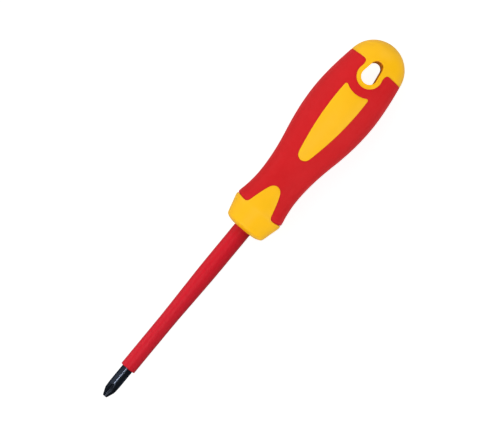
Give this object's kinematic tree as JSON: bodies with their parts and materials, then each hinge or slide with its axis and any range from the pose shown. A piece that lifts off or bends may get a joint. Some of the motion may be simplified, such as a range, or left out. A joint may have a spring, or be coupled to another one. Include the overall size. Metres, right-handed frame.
{
  "type": "insulated screwdriver",
  "caption": "Fixed-blade insulated cross-point screwdriver: sleeved steel bar, two-colour moulded handle with a flared hand guard, soft grip and hanging hole.",
  "frame": {"origin": "under the middle of the tool's length, on the surface that the belly of the handle touches, directly below the blade axis", "axes": "+X along the blade axis from the tip to the domed end, +Z out of the front window and along the hanging hole, +Y to complete a right-handed frame; the blade axis is at z = 16.75 mm"},
  "size_m": [0.21, 0.0336, 0.0335],
  "materials": {
    "blade_steel": "black oxide, satin",
    "sleeve_red": "satin moulded insulation",
    "handle_yellow": "satin moulded hard plastic",
    "grip_red": "matt soft overmould, finely textured",
    "core_natural": "unpainted hidden moulding"
  },
  "bodies": {
    "root": {"blade": "blade_steel", "blade_sleeve": "sleeve_red", "handle_body": "handle_yellow", "grip": "grip_red", "tang_core": "core_natural"}
  },
  "joints": []
}
